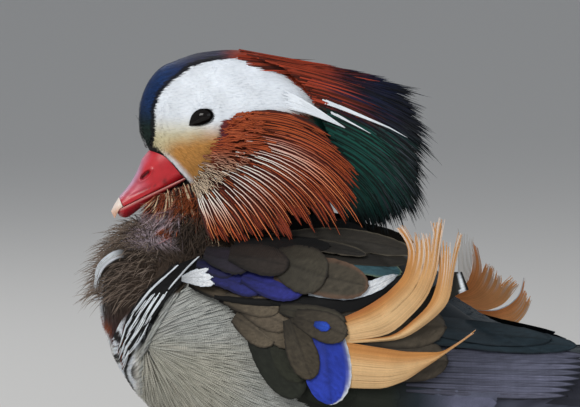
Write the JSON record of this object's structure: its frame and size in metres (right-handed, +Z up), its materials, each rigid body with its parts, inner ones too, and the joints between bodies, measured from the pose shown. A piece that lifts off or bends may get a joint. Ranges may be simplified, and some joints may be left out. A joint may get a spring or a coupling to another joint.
{
  "type": "mandarin duck drake",
  "caption": "Standing drake mandarin duck with its head drawn back, long crest, fanned cheek ruff and two upright sail feathers over the back.",
  "frame": {"origin": "on the floor under the middle of the duck", "axes": "+Z up, the bill points along -Y and the tail along +Y, the duck's left side faces +X"},
  "size_m": [0.1184, 0.3228, 0.227],
  "materials": {
    "body_feathers": "soft feathers: brown-grey breast, pale barred flanks, white belly",
    "neck_feathers": "soft brown feathers",
    "head_feathers": "short close feathers, white and buff, dark at the forehead, rufous at the crown",
    "crest_feathers": "long silky feathers, rufous, green-black and blue, with a white streak",
    "ruff_feathers": "narrow glossy hackles, chestnut with pale shafts",
    "wing_feathers": "smooth brown feathers with blue, green and white edges",
    "sail_feathers": "orange-buff vanes, split into strands at the tips",
    "tail_feathers": "dark brown vanes with a green gloss",
    "bill_horn": "smooth crimson horn, half glossy",
    "nail_horn": "smooth pale pink horn",
    "eye": "wet, very dark brown",
    "leg_skin": "scaly orange-yellow skin with darker webs"
  },
  "bodies": {
    "root": {"torso": "body_feathers", "neck": "neck_feathers", "head": "head_feathers", "bill_upper": "bill_horn", "bill_lower": "bill_horn", "bill_nail": "nail_horn", "eye_left": "eye", "eye_right": "eye", "crest": "crest_feathers", "ruff_left": "ruff_feathers", "ruff_right": "ruff_feathers", "wing_left": "wing_feathers", "wing_right": "wing_feathers", "sail_left": "sail_feathers", "sail_right": "sail_feathers", "tail": "tail_feathers", "thigh_left": "body_feathers", "thigh_right": "body_feathers", "tarsus_left": "leg_skin", "tarsus_right": "leg_skin", "foot_left": "leg_skin", "foot_right": "leg_skin"}
  },
  "joints": []
}
